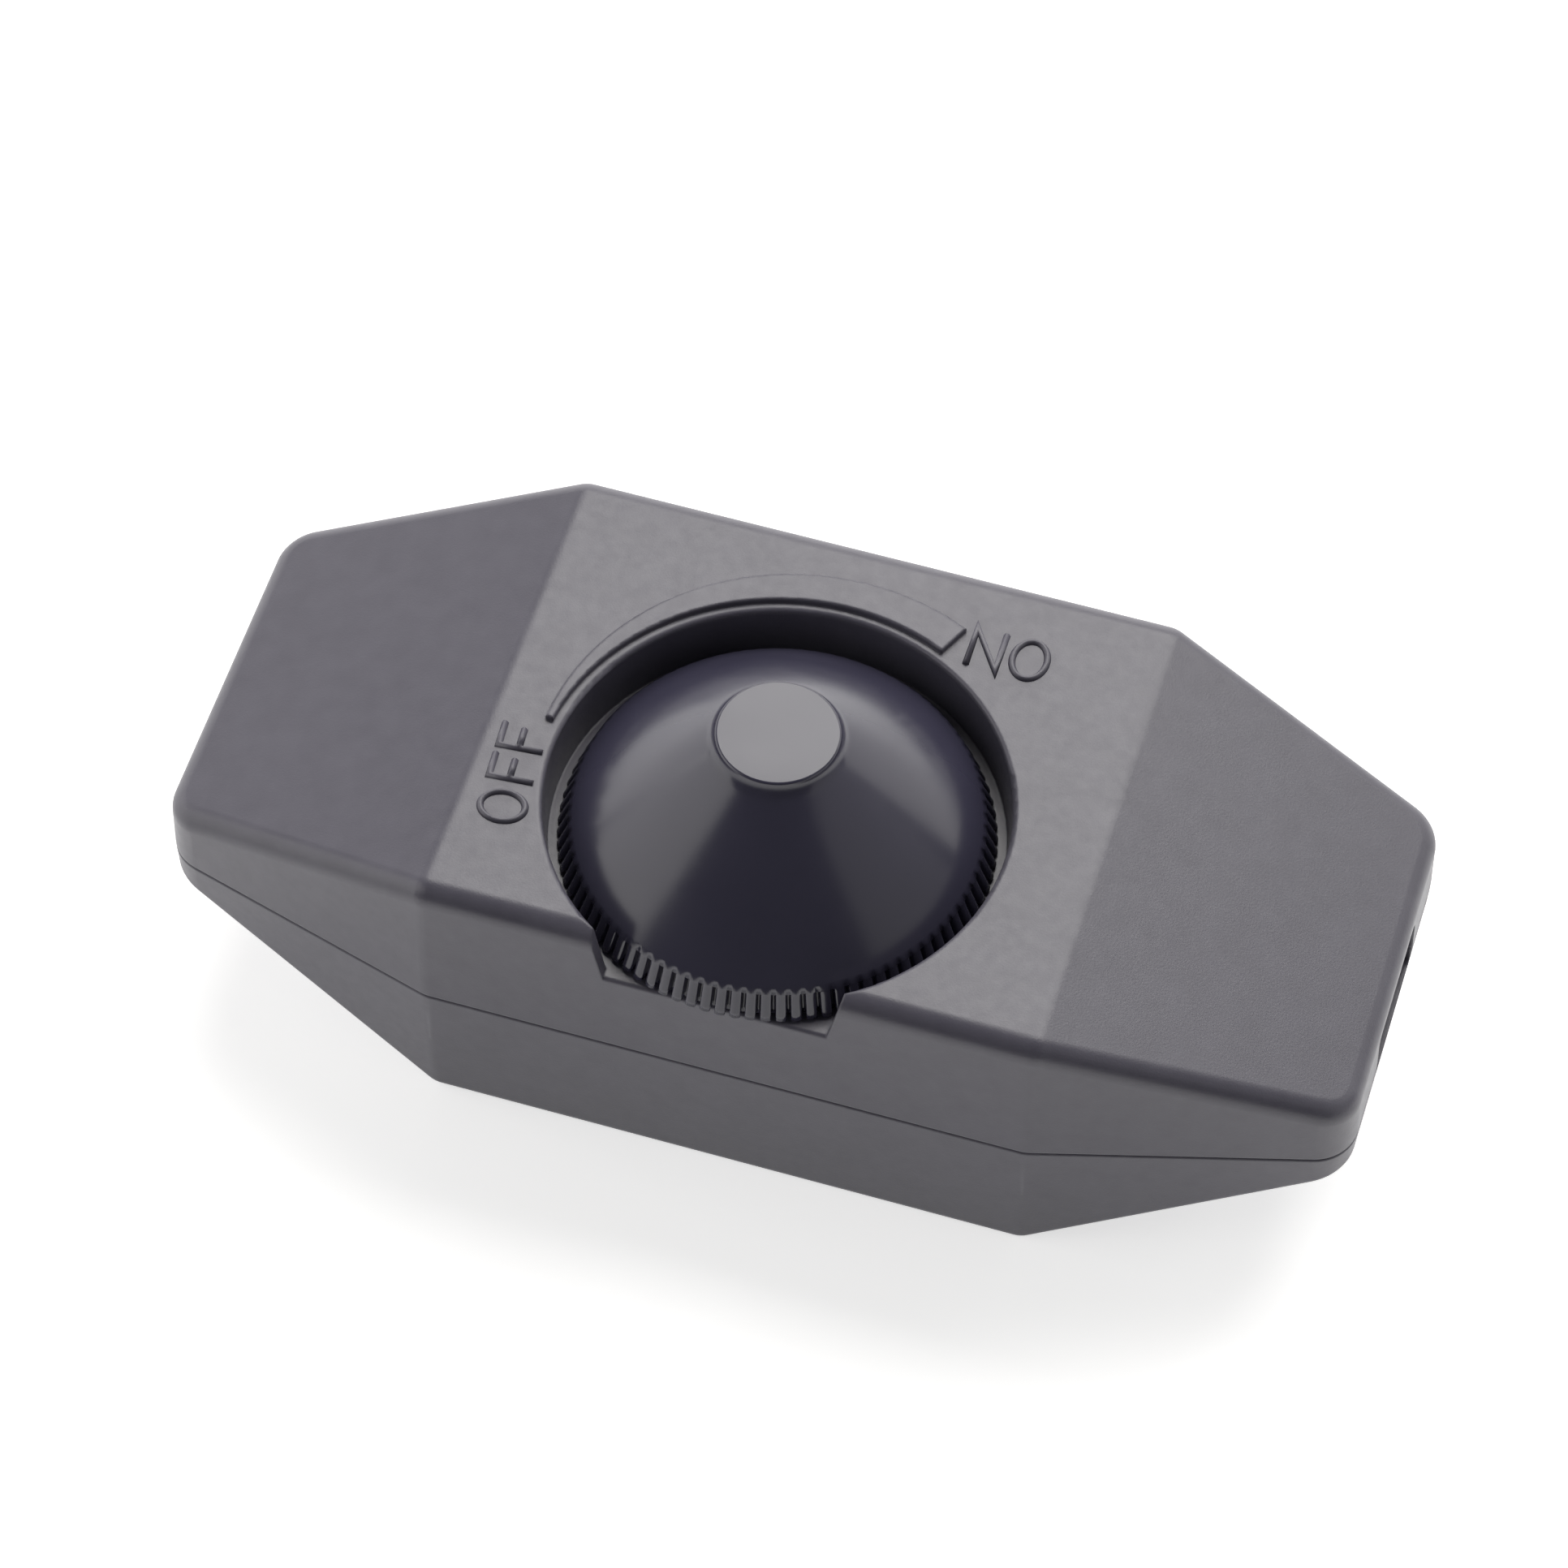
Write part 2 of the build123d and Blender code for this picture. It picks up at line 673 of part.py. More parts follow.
def make_component_leads():
    """Tinned wire leads of the capacitors, resistors and diac."""
    leads = []
    for x, y in upright_lead_points():
        leads.append(post(lead_radius, board_bottom_z - lead_tail, board_top_z, x, y))
    for x, y, pitch, radius, body_length in axial_parts():
        middle_z = board_top_z + radius
        for end in END_SIDES:
            start = (x + end * body_length / 2, y, middle_z)
            corner = (x + end * pitch / 2, y, middle_z)
            foot = (x + end * pitch / 2, y, board_bottom_z - lead_tail)
            path = FilletPolyline(start, corner, foot, radius=2 * lead_radius)
            ring = Plane(origin=start, z_dir=(end, 0, 0)) * Circle(lead_radius)
            leads.append(sweep(ring, path=path))
    return joined(leads)


def make_axial_body(x, y, radius, body_length):
    """Round body that lies along X on the board."""
    body = Pos(x, y, board_top_z + radius) * Rot(0, 90, 0) * Cylinder(radius, body_length)
    return fillet(body.edges().filter_by(GeomType.CIRCLE), radius / 3)


def choke_lead_points():
    """Plan positions of the two ends of the choke's winding."""
    side = choke_core_radius - choke_wire_radius
    return [(choke_x - side, choke_y), (choke_x + side, choke_y)]


def make_choke_core():
    """Drum core of the interference choke, standing on the board."""
    flange = choke_core_radius
    top = board_top_z + choke_core_height + 2 * choke_flange_thickness
    core = post(choke_bore_radius, board_top_z, top)
    core += post(flange, board_top_z, board_top_z + choke_flange_thickness)
    core += post(flange, top - choke_flange_thickness, top)
    notched = core
    for x, _ in choke_lead_points():
        notched -= block(2 * choke_wire_radius + moving_gap, 2 * choke_wire_radius + moving_gap,
                         board_top_z, board_top_z + choke_flange_thickness, x - choke_x)
    return Pos(choke_x, choke_y, 0) * notched


def make_choke_winding():
    """Copper winding of the choke as stacked turns, with its two ends through the board."""
    low = board_top_z + choke_flange_thickness
    turns_high = math.floor(choke_core_height / (2 * choke_wire_radius))
    pitch = choke_core_height / turns_high
    valley = choke_bore_radius + choke_wire_radius
    peak = valley + choke_wire_radius
    outline = [(choke_bore_radius, low), (valley, low)]
    for i in range(turns_high):
        foot = low + i * pitch
        rise = foot + (1 - choke_turn_crest) / 2 * pitch
        outline += [(peak, rise), (peak, rise + choke_turn_crest * pitch), (valley, foot + pitch)]
    outline.append((choke_bore_radius, low + choke_core_height))
    coil = revolve(Plane.XZ * Polygon(*outline, align=None), axis=Axis.Z)
    coil = Pos(choke_x, choke_y, 0) * coil
    for x, y in choke_lead_points():
        inner_x = choke_x + math.copysign(valley, x - choke_x)
        coil += post(choke_wire_radius, board_bottom_z - lead_tail, low + choke_wire_radius, x, y)
        coil += block(abs(x - inner_x), choke_wire_radius, low, low + choke_wire_radius,
                      (x + inner_x) / 2, y)
    return coil


def terminal_points():
    """Plan positions of the four terminal cages."""
    x = board_half_length - terminal_length / 2
    return [(i * x, j * terminal_pitch / 2) for i in END_SIDES for j in (-1, 1)]


def make_terminal_block(end):
    """Two-way terminal body with wire mouths towards the cord inlet."""
    x = end * (board_half_length - terminal_length / 2)
    top = board_top_z + terminal_height
    body = block(terminal_length, terminal_width, board_top_z, top, x)
    cage = terminal_bore_radius + terminal_cage_wall
    middle_z = board_top_z + terminal_height / 2 - terminal_cage_wall
    for j in (-1, 1):
        y = j * terminal_pitch / 2
        body -= block(2 * cage, 2 * cage, middle_z - cage, top, x, y)
        mouth = Pos(x + end * terminal_length / 2, y, middle_z) * Rot(0, 90, 0)
        body -= mouth * Cylinder(terminal_bore_radius, terminal_length)
        body -= post(lead_radius + hub_clearance, board_top_z, middle_z - cage, x, y)
    return body


def make_terminal_cages():
    """Metal cages that take the wires, each with its pin through the board."""
    cage = terminal_bore_radius + terminal_cage_wall - hub_clearance
    middle_z = board_top_z + terminal_height / 2 - terminal_cage_wall
    cages = []
    for x, y in terminal_points():
        shell = block(2 * cage, 2 * cage, middle_z - cage, middle_z + cage, x, y)
        shell -= Pos(x, y, middle_z) * Rot(0, 90, 0) * Cylinder(terminal_bore_radius, 4 * cage)
        shell -= post(terminal_screw_radius + bush_clearance, middle_z, middle_z + cage, x, y)
        shell += post(lead_radius, board_bottom_z - lead_tail, middle_z - cage, x, y)
        cages.append(shell)
    return joined(cages)


def make_terminal_screws():
    """Slotted screws that press the wires in their cages."""
    top = board_top_z + terminal_height - terminal_top_recess
    screws = []
    for x, y in terminal_points():
        screw = post(terminal_screw_radius, top - terminal_screw_length, top, x, y)
        screw -= block(terminal_slot_width, 3 * terminal_screw_radius, top - terminal_slot_depth,
                       top, x, y)
        screws.append(screw)
    return joined(screws)


def slotted_cross(bottom, top, x, y):
    """Cross-shaped cutter for a screw head."""
    cross = block(cross_recess_length, cross_recess_width, bottom, top, x, y)
    return cross + block(cross_recess_width, cross_recess_length, bottom, top, x, y)


def make_cover_screws():
    """Four long screws that draw the covers together from below."""
    screws = []
    for x, y in cover_screw_points():
        seat = cover_screw_seat_z
        head = post(cover_screw_head_radius, seat - cover_screw_head_height, seat, x, y)
        head = fillet(head.edges().group_by(Axis.Z)[0], cover_screw_head_height / 3)
        shank = post(cover_screw_radius, seat, seat + cover_screw_length, x, y)
        cut = slotted_cross(seat - cover_screw_head_height, seat - cover_screw_head_height
                            + cross_recess_depth, x, y)
        screws.append(head + shank - cut)
    return joined(screws)


def make_clamp(end):
    """Cord clamp bar with a biting ridge, on its two posts."""
    top = clamp_underside_z + clamp_thickness
    bar = block(clamp_length, 2 * clamp_half_span, clamp_underside_z, top, end * clamp_x)
    bar = fillet(bar.edges().filter_by(Axis.Z), clamp_length / 3)
    bar += block(2 * clamp_ridge, 2 * saddle_half_width, clamp_underside_z - clamp_ridge,
                 clamp_underside_z, end * clamp_x)
    for j in (-1, 1):
        bar -= post(clamp_screw_radius + cover_screw_clearance, clamp_underside_z, top,
                    end * clamp_x, j * clamp_screw_y)
    return bar


def make_short_screws(points, head_seat, head_radius, head_height, radius, shank):
    """Pan head screws driven from above."""
    screws = []
    for x, y in points:
        head = post(head_radius, head_seat, head_seat + head_height, x, y)
        head = fillet(head.edges().group_by(Axis.Z)[-1], head_height / 3)
        body = head + post(radius, head_seat - shank, head_seat, x, y)
        top = head_seat + head_height
        screws.append(body - slotted_cross(top - cross_recess_width, top, x, y))
    return joined(screws)


nodes = {
    "top_cover": make_top_cover(),
    "bottom_cover": make_bottom_cover(),
    "knob": make_knob(),
    "spindle": make_spindle(),
    "wiper": make_wiper(),
    "control_can": make_control_can(),
    "control_base": make_control_base(),
    "control_bush": make_bush(),
    "resistive_track": make_track(),
    "control_pins": make_control_pins(),
    "circuit_board": make_board(),
    "triac_body": make_triac_body(),
    "triac_frame": make_triac_frame(),
    "suppression_capacitor": make_box_capacitor(suppressor_size, suppressor_position),
    "timing_capacitor": make_box_capacitor(timing_size, timing_position),
    "component_leads": make_component_leads(),
    "resistors": joined([make_axial_body(x, y, resistor_radius, resistor_length)
                         for x, y in resistor_rows]),
    "diac": make_axial_body(*diac_position, diac_radius, diac_length),
    "choke_core": make_choke_core(),
    "choke_winding": make_choke_winding(),
    "terminal_block_left": make_terminal_block(-1),
    "terminal_block_right": make_terminal_block(1),
    "terminal_cages": make_terminal_cages(),
    "terminal_screws": make_terminal_screws(),
    "cord_clamp_left": make_clamp(-1),
    "cord_clamp_right": make_clamp(1),
    "clamp_screws": make_short_screws(
        clamp_screw_points(), clamp_underside_z + clamp_thickness, clamp_screw_head_radius,
        clamp_screw_head_height, clamp_screw_radius, clamp_screw_length),
    "board_screws": make_short_screws(
        board_screw_points(), board_top_z, board_screw_head_radius,
        board_screw_head_height, board_screw_radius, board_screw_length),
    "cover_screws": make_cover_screws(),
}

os.makedirs("parts", exist_ok=True)
for name, shape in nodes.items():
    export_step(shape, f"parts/{name}.step")
    print(name, len(shape.solids()), round(shape.volume, 3))
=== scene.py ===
import json
import logging
import math
from dataclasses import dataclass, field
from enum import Enum
from typing import ClassVar

import bmesh
import bpy
from mathutils import Matrix, Vector


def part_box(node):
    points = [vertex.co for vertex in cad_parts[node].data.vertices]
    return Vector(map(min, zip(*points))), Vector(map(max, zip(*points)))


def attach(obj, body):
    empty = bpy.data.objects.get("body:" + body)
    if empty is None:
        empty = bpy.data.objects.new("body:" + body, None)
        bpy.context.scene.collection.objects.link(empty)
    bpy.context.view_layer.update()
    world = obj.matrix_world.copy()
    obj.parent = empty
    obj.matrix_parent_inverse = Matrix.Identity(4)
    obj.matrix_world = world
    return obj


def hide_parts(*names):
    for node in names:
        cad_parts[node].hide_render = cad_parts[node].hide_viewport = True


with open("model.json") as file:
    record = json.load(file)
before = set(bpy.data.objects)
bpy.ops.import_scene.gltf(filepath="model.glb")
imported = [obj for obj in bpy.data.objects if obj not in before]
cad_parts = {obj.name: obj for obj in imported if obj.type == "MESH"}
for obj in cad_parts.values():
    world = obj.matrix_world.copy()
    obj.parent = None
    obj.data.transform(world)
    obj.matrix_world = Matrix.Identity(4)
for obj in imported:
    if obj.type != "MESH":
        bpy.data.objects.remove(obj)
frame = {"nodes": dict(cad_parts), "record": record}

LOG = logging.getLogger("lamp_dimmer")
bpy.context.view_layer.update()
MM = 0.001
PHOTO_SIDE = 1932

Colour = tuple[float, float, float]
Triple = tuple[float, float, float]
Point = tuple[float, float]
Span = tuple[float, float]
Socket = str | int
Outlet = tuple[bpy.types.Node, Socket]

# Places of the colour sockets on a mix node
MIX_FACTOR = 0
MIX_FIRST = 6
MIX_SECOND = 7
MIX_RESULT = 2


class Texture(Enum):
    """The kinds of surface that a finish can have."""

    SATIN_GRAIN = "spark-eroded mould grain"
    POLISHED = "polished mould with faint flow marks"
    BRUSHED = "rolled or drawn metal with lines along it"
    TURNED = "turned metal with rings round the upright axis"
    WOVEN = "glass weave showing in a laminate"
    WOUND = "wire laid side by side"
    CAST = "plain moulded or sintered surface"


class Body(Enum):
    """The groups of pieces that move together."""

    FIXED = "housing"
    TURNING = "dial"


@dataclass(frozen=True)
class Grain:
    """Relief of a surface.

    Args:
        size: width of one grain in metres.
        height: depth of the relief in metres.
        stretch: how much longer than wide a grain is.
    """

    size: float
    height: float
    stretch: float = 1.0


class NodeSheet:
    """A material's node tree with short calls for the nodes that the finishes use."""

    def __init__(self, name: str) -> None:
        """Make an empty material.

        Args:
            name: the material's name.
        """
        self.material = bpy.data.materials.new(name)
        self.material.use_nodes = True
        self.tree = self.material.node_tree
        self.tree.nodes.clear()
        self.output = self.add("ShaderNodeOutputMaterial")
        self.shader = self.add("ShaderNodeBsdfPrincipled")
        self.join(self.shader, "BSDF", self.output, "Surface")

    def add(self, kind: str, **settings: object) -> bpy.types.Node:
        """Add a node and set its properties.

        Args:
            kind: Blender's name for the node type.
            settings: property names with their values.

        Returns:
            The new node.
        """
        node = self.tree.nodes.new(kind)
        for key, value in settings.items():
            setattr(node, key, value)
        return node

    def join(self, source: bpy.types.Node, output: Socket, target: bpy.types.Node, slot: Socket) -> None:
        """Link an output to an input.

        Args:
            source: node that gives the value.
            output: name or place of its output.
            target: node that takes the value.
            slot: name or place of its input.
        """
        self.tree.links.new(source.outputs[output], target.inputs[slot])

    def calculate(self, operation: str, *sources: Outlet) -> bpy.types.Node:
        """Work out a value from other nodes' values and keep it between 0 and 1.

        Args:
            operation: Blender's name for the calculation.
            sources: nodes with the outputs to take.

        Returns:
            The math node, whose output is Value.
        """
        node = self.add("ShaderNodeMath", operation=operation, use_clamp=True)
        for place, (source, output) in enumerate(sources):
            self.join(source, output, node, place)
        return node

    def coordinates(self, stretch: Triple = (1.0, 1.0, 1.0)) -> bpy.types.Node:
        """Give the object's own coordinates, scaled.

        Args:
            stretch: scale along each axis.

        Returns:
            The mapping node, whose output is Vector.
        """
        place = self.add("ShaderNodeTexCoord")
        mapping = self.add("ShaderNodeMapping")
        mapping.inputs["Scale"].default_value = stretch
        self.join(place, "Object", mapping, "Vector")
        return mapping

    def pattern(self, kind: str, size: float, stretch: Triple = (1.0, 1.0, 1.0),
                **settings: object) -> bpy.types.Node:
        """Add a texture that lies on the object's own coordinates.

        Args:
            kind: Blender's name for the texture node.
            size: width of one repeat in metres.
            stretch: scale along each axis.
            settings: property names with their values.

        Returns:
            The texture node.
        """
        node = self.add(kind, **settings)
        node.inputs["Scale"].default_value = 1.0 / size
        self.join(self.coordinates(stretch), "Vector", node, "Vector")
        return node

    def noise(self, size: float, detail: float, stretch: Triple = (1.0, 1.0, 1.0)) -> bpy.types.Node:
        """Add noise whose blotches are about one size wide.

        Args:
            size: width of a blotch in metres.
            detail: octaves of finer noise.
            stretch: scale along each axis.

        Returns:
            The noise node.
        """
        node = self.pattern("ShaderNodeTexNoise", size, stretch)
        node.inputs["Detail"].default_value = detail
        return node

    def spread(self, source: bpy.types.Node, output: str, low: float, high: float,
               source_low: float = 0.3, source_high: float = 0.7) -> bpy.types.Node:
        """Map a texture's middle range to the range from low to high.

        Args:
            source: node that gives the value.
            output: name of its output.
            low: result at source_low.
            high: result at source_high.
            source_low: value that gives low.
            source_high: value that gives high.

        Returns:
            The map range node, whose output is Result.
        """
        node = self.add("ShaderNodeMapRange")
        node.inputs["From Min"].default_value = source_low
        node.inputs["From Max"].default_value = source_high
        node.inputs["To Min"].default_value = low
        node.inputs["To Max"].default_value = high
        self.join(source, output, node, "Value")
        return node

    def blend(self, factor: bpy.types.Node, output: str, first: Colour, second: Colour) -> bpy.types.Node:
        """Mix two colours by a factor.

        Args:
            factor: node that gives the share of the second colour.
            output: name of its output.
            first: colour at factor 0.
            second: colour at factor 1.

        Returns:
            The mix node.
        """
        node = self.add("ShaderNodeMix", data_type="RGBA")
        self.join(factor, output, node, MIX_FACTOR)
        node.inputs[MIX_FIRST].default_value = (*first, 1.0)
        node.inputs[MIX_SECOND].default_value = (*second, 1.0)
        return node

    def relief(self, source: bpy.types.Node, output: str, height: float,
               below: bpy.types.Node | None = None) -> bpy.types.Node:
        """Turn a value into relief on the surface.

        Args:
            source: node that gives the height's share.
            output: name of its output.
            height: full depth in metres.
            below: an earlier relief that this one lies on.

        Returns:
            The bump node.
        """
        node = self.add("ShaderNodeBump")
        node.inputs["Strength"].default_value = 1.0
        node.inputs["Distance"].default_value = height
        self.join(source, output, node, "Height")
        if below is not None:
            self.join(below, "Normal", node, "Normal")
        return node


@dataclass(frozen=True)
class Finish:
    """One finish of the dimmer.

    Args:
        slot: the record's material slot.
        colour: main colour, linear.
        shade: colour of its blotches, linear.
        roughness: least and greatest roughness.
        texture: kind of surface.
        grain: relief of the surface.
        metallic: 1 for bare metal.
        index: refractive index of its surface.
        coat: weight of a clear layer.
        specks: share of tiny pale dust specks, 0 for none.
        edge: radius to which sharp edges look rounded, in metres.
    """

    slot: str
    colour: Colour
    shade: Colour
    roughness: Span
    texture: Texture
    grain: Grain
    metallic: float = 0.0
    index: float = 1.5
    coat: float = 0.0
    specks: float = 0.0
    edge: float = 0.0

    COAT_ROUGHNESS: ClassVar[float] = 0.08
    MOTTLE_GRAINS: ClassVar[int] = 14
    MOTTLE_DETAIL: ClassVar[float] = 4.0
    WEAR_GRAINS: ClassVar[int] = 5
    WEAR_DETAIL: ClassVar[float] = 3.0
    DUST: ClassVar[Colour] = (0.32, 0.32, 0.33)
    DUST_SPACING: ClassVar[float] = 4 * MM
    DUST_CORE: ClassVar[float] = 0.02
    DUST_EDGE: ClassVar[float] = 0.05
    DUST_RAMP: ClassVar[float] = 0.02
    EDGE_SAMPLES: ClassVar[int] = 6
    FINE_DETAIL: ClassVar[float] = 2.0
    PLAIN_DETAIL: ClassVar[float] = 4.0
    BAND_GRAINS: ClassVar[int] = 20
    TURNED_WANDER: ClassVar[float] = 1.0
    WEAVE_GRAINS: ClassVar[int] = 2

    def material(self) -> bpy.types.Material:
        """Build the finish as a procedural material.

        Returns:
            The material.
        """
        sheet = NodeSheet(self.slot)
        shader = sheet.shader
        shader.inputs["Metallic"].default_value = self.metallic
        shader.inputs["IOR"].default_value = self.index
        shader.inputs["Coat Weight"].default_value = self.coat
        shader.inputs["Coat Roughness"].default_value = self.COAT_ROUGHNESS
        mottle = sheet.noise(self.MOTTLE_GRAINS * self.grain.size, self.MOTTLE_DETAIL)
        tone = sheet.blend(sheet.spread(mottle, "Fac", 0.0, 1.0), "Result", self.colour, self.shade)
        if self.specks > 0:
            tone = self._dusted(sheet, tone)
        sheet.join(tone, MIX_RESULT, shader, "Base Color")
        worn = sheet.noise(self.WEAR_GRAINS * self.grain.size, self.WEAR_DETAIL)
        dull = sheet.spread(worn, "Fac", *self.roughness)
        sheet.join(dull, "Result", shader, "Roughness")
        sheet.join(self._relief(sheet), "Normal", shader, "Normal")
        return sheet.material

    def _dusted(self, sheet: NodeSheet, tone: bpy.types.Node) -> bpy.types.Node:
        """Add sparse pale specks of dust to a colour.

        Args:
            sheet: the material's node tree.
            tone: mix node that gives the clean colour.

        Returns:
            The mix node that gives the dusted colour.
        """
        cells = sheet.pattern("ShaderNodeTexVoronoi", self.DUST_SPACING)
        near = sheet.spread(cells, "Distance", 1.0, 0.0, self.DUST_CORE, self.DUST_EDGE)
        chance = sheet.add("ShaderNodeSeparateColor")
        sheet.join(cells, "Color", chance, "Color")
        clean = 1.0 - self.specks
        rare = sheet.spread(chance, "Red", 0.0, 1.0, clean, clean + self.DUST_RAMP)
        speck = sheet.calculate("MULTIPLY", (near, "Result"), (rare, "Result"))
        dusted = sheet.blend(speck, "Value", self.colour, self.DUST)
        sheet.join(tone, MIX_RESULT, dusted, MIX_FIRST)
        return dusted

    def _relief(self, sheet: NodeSheet) -> bpy.types.Node:
        """Build the relief that the texture names.

        Args:
            sheet: the material's node tree.

        Returns:
            The bump node.
        """
        grain = self.grain
        if self.texture is Texture.SATIN_GRAIN:
            cells = sheet.pattern("ShaderNodeTexVoronoi", grain.size)
            rounded = sheet.add("ShaderNodeBevel", samples=self.EDGE_SAMPLES)
            rounded.inputs["Radius"].default_value = self.edge
            coarse = sheet.relief(cells, "Distance", grain.height, rounded)
            fine = sheet.noise(grain.size / 2, self.FINE_DETAIL)
            return sheet.relief(fine, "Fac", grain.height, coarse)
        if self.texture in (Texture.TURNED, Texture.WOUND):
            bands = sheet.pattern("ShaderNodeTexWave", self.BAND_GRAINS * grain.size,
                                  wave_type="BANDS", bands_direction="Z")
            if self.texture is Texture.TURNED:
                bands.inputs["Distortion"].default_value = self.TURNED_WANDER
            return sheet.relief(bands, "Fac", grain.height)
        if self.texture is Texture.WOVEN:
            weave = sheet.pattern("ShaderNodeTexBrick", self.WEAVE_GRAINS * grain.size)
            return sheet.relief(weave, "Fac", grain.height)
        along = (1.0 / grain.stretch, 1.0, 1.0)
        return sheet.relief(sheet.noise(grain.size, self.PLAIN_DETAIL, along), "Fac", grain.height)


# Reliefs that more than one finish has
FINE = Grain(0.16 * MM, 0.004 * MM)
SMOOTH = Grain(0.7 * MM, 0.002 * MM)
DRAWN = Grain(0.08 * MM, 0.004 * MM, 12.0)
TURNED_LINES = Grain(0.09 * MM, 0.004 * MM)

# One finish for each material slot of the record
FINISHES = (
    Finish("shell_plastic", (0.078, 0.074, 0.099), (0.090, 0.086, 0.113), (0.34, 0.40),
           Texture.SATIN_GRAIN, FINE, index=1.58, specks=0.02, edge=0.25 * MM),
    Finish("knob_plastic", (0.036, 0.034, 0.058), (0.040, 0.038, 0.064), (0.19, 0.24),
           Texture.POLISHED, SMOOTH, index=1.58, specks=0.01),
    Finish("spindle_plastic", (0.60, 0.58, 0.52), (0.66, 0.64, 0.58), (0.42, 0.52), Texture.CAST, FINE),
    Finish("spring_brass", (0.60, 0.42, 0.17), (0.52, 0.36, 0.14), (0.22, 0.34),
           Texture.BRUSHED, DRAWN, metallic=1.0),
    Finish("zinc_steel", (0.56, 0.57, 0.58), (0.46, 0.48, 0.50), (0.26, 0.38),
           Texture.BRUSHED, DRAWN, metallic=1.0),
    Finish("phenolic", (0.16, 0.075, 0.03), (0.12, 0.055, 0.024), (0.45, 0.6), Texture.CAST, FINE),
    Finish("bush_brass", (0.60, 0.43, 0.18), (0.54, 0.37, 0.15), (0.18, 0.3),
           Texture.TURNED, TURNED_LINES, metallic=1.0),
    Finish("carbon_track", (0.014, 0.014, 0.014), (0.02, 0.02, 0.02), (0.5, 0.66), Texture.CAST, FINE),
    Finish("tinned_metal", (0.62, 0.62, 0.6), (0.54, 0.54, 0.53), (0.22, 0.36),
           Texture.BRUSHED, DRAWN, metallic=1.0),
    Finish("board_laminate", (0.27, 0.17, 0.065), (0.22, 0.14, 0.055), (0.34, 0.46),
           Texture.WOVEN, Grain(0.5 * MM, 0.004 * MM), coat=0.25),
    Finish("component_black", (0.018, 0.018, 0.018), (0.024, 0.024, 0.025), (0.42, 0.56),
           Texture.CAST, FINE),
    Finish("capacitor_yellow", (0.56, 0.31, 0.02), (0.60, 0.35, 0.03), (0.22, 0.32),
           Texture.POLISHED, SMOOTH),
    Finish("capacitor_red", (0.30, 0.016, 0.012), (0.34, 0.022, 0.016), (0.2, 0.3),
           Texture.POLISHED, SMOOTH),
    Finish("resistor_coat", (0.40, 0.25, 0.11), (0.36, 0.22, 0.10), (0.3, 0.42), Texture.CAST, SMOOTH),
    Finish("diac_glass", (0.02, 0.045, 0.2), (0.026, 0.055, 0.24), (0.08, 0.16),
           Texture.POLISHED, SMOOTH, coat=0.6),
    Finish("ferrite", (0.02, 0.02, 0.022), (0.028, 0.028, 0.03), (0.5, 0.64), Texture.CAST, FINE),
    Finish("enamelled_copper", (0.50, 0.15, 0.05), (0.44, 0.13, 0.04), (0.14, 0.24),
           Texture.WOUND, Grain(1.2 * MM, 0.01 * MM), metallic=1.0, coat=0.5),
    Finish("terminal_green", (0.014, 0.12, 0.04), (0.018, 0.14, 0.05), (0.34, 0.46), Texture.CAST, FINE),
    Finish("cage_brass", (0.58, 0.43, 0.2), (0.5, 0.37, 0.17), (0.24, 0.36),
           Texture.BRUSHED, DRAWN, metallic=1.0),
    Finish("clamp_plastic", (0.03, 0.03, 0.033), (0.038, 0.038, 0.042), (0.42, 0.54), Texture.CAST, FINE),
    Finish("screw_steel", (0.16, 0.16, 0.165), (0.12, 0.12, 0.125), (0.3, 0.42),
           Texture.TURNED, TURNED_LINES, metallic=1.0),
)


class Paintshop:
    """Holds every finish as a material and puts it on pieces."""

    def __init__(self) -> None:
        """Build every material once."""
        self.materials = {finish.slot: finish.material() for finish in FINISHES}

    def dress(self, piece: bpy.types.Object, slot: str) -> None:
        """Give a piece one finish.

        Args:
            piece: the mesh object.
            slot: the finish's slot.
        """
        piece.data.materials.clear()
        piece.data.materials.append(self.materials[slot])

    def dress_frame(self) -> None:
        """Give every carried-over node the finish that the record names."""
        for part in frame["record"]["subparts"]:
            self.dress(frame["nodes"][part["node"]], part["material_slot"])
            LOG.info("dressed %s as %s", part["node"], part["material_slot"])


def add_piece(name: str, mesh: bmesh.types.BMesh, body: Body, slot: str,
              shop: Paintshop) -> bpy.types.Object:
    """Turn a mesh into a dressed piece that rides on a body.

    Args:
        name: the piece's name.
        mesh: its geometry, which is freed.
        body: the moving group that carries it.
        slot: the finish's slot.
        shop: where the finishes are.

    Returns:
        The new object.
    """
    bmesh.ops.recalc_face_normals(mesh, faces=mesh.faces)
    data = bpy.data.meshes.new(name)
    mesh.to_mesh(data)
    mesh.free()
    piece = bpy.data.objects.new(name, data)
    bpy.context.scene.collection.objects.link(piece)
    shop.dress(piece, slot)
    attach(piece, body.value)
    LOG.info("built %s with %d faces", name, len(data.polygons))
    return piece


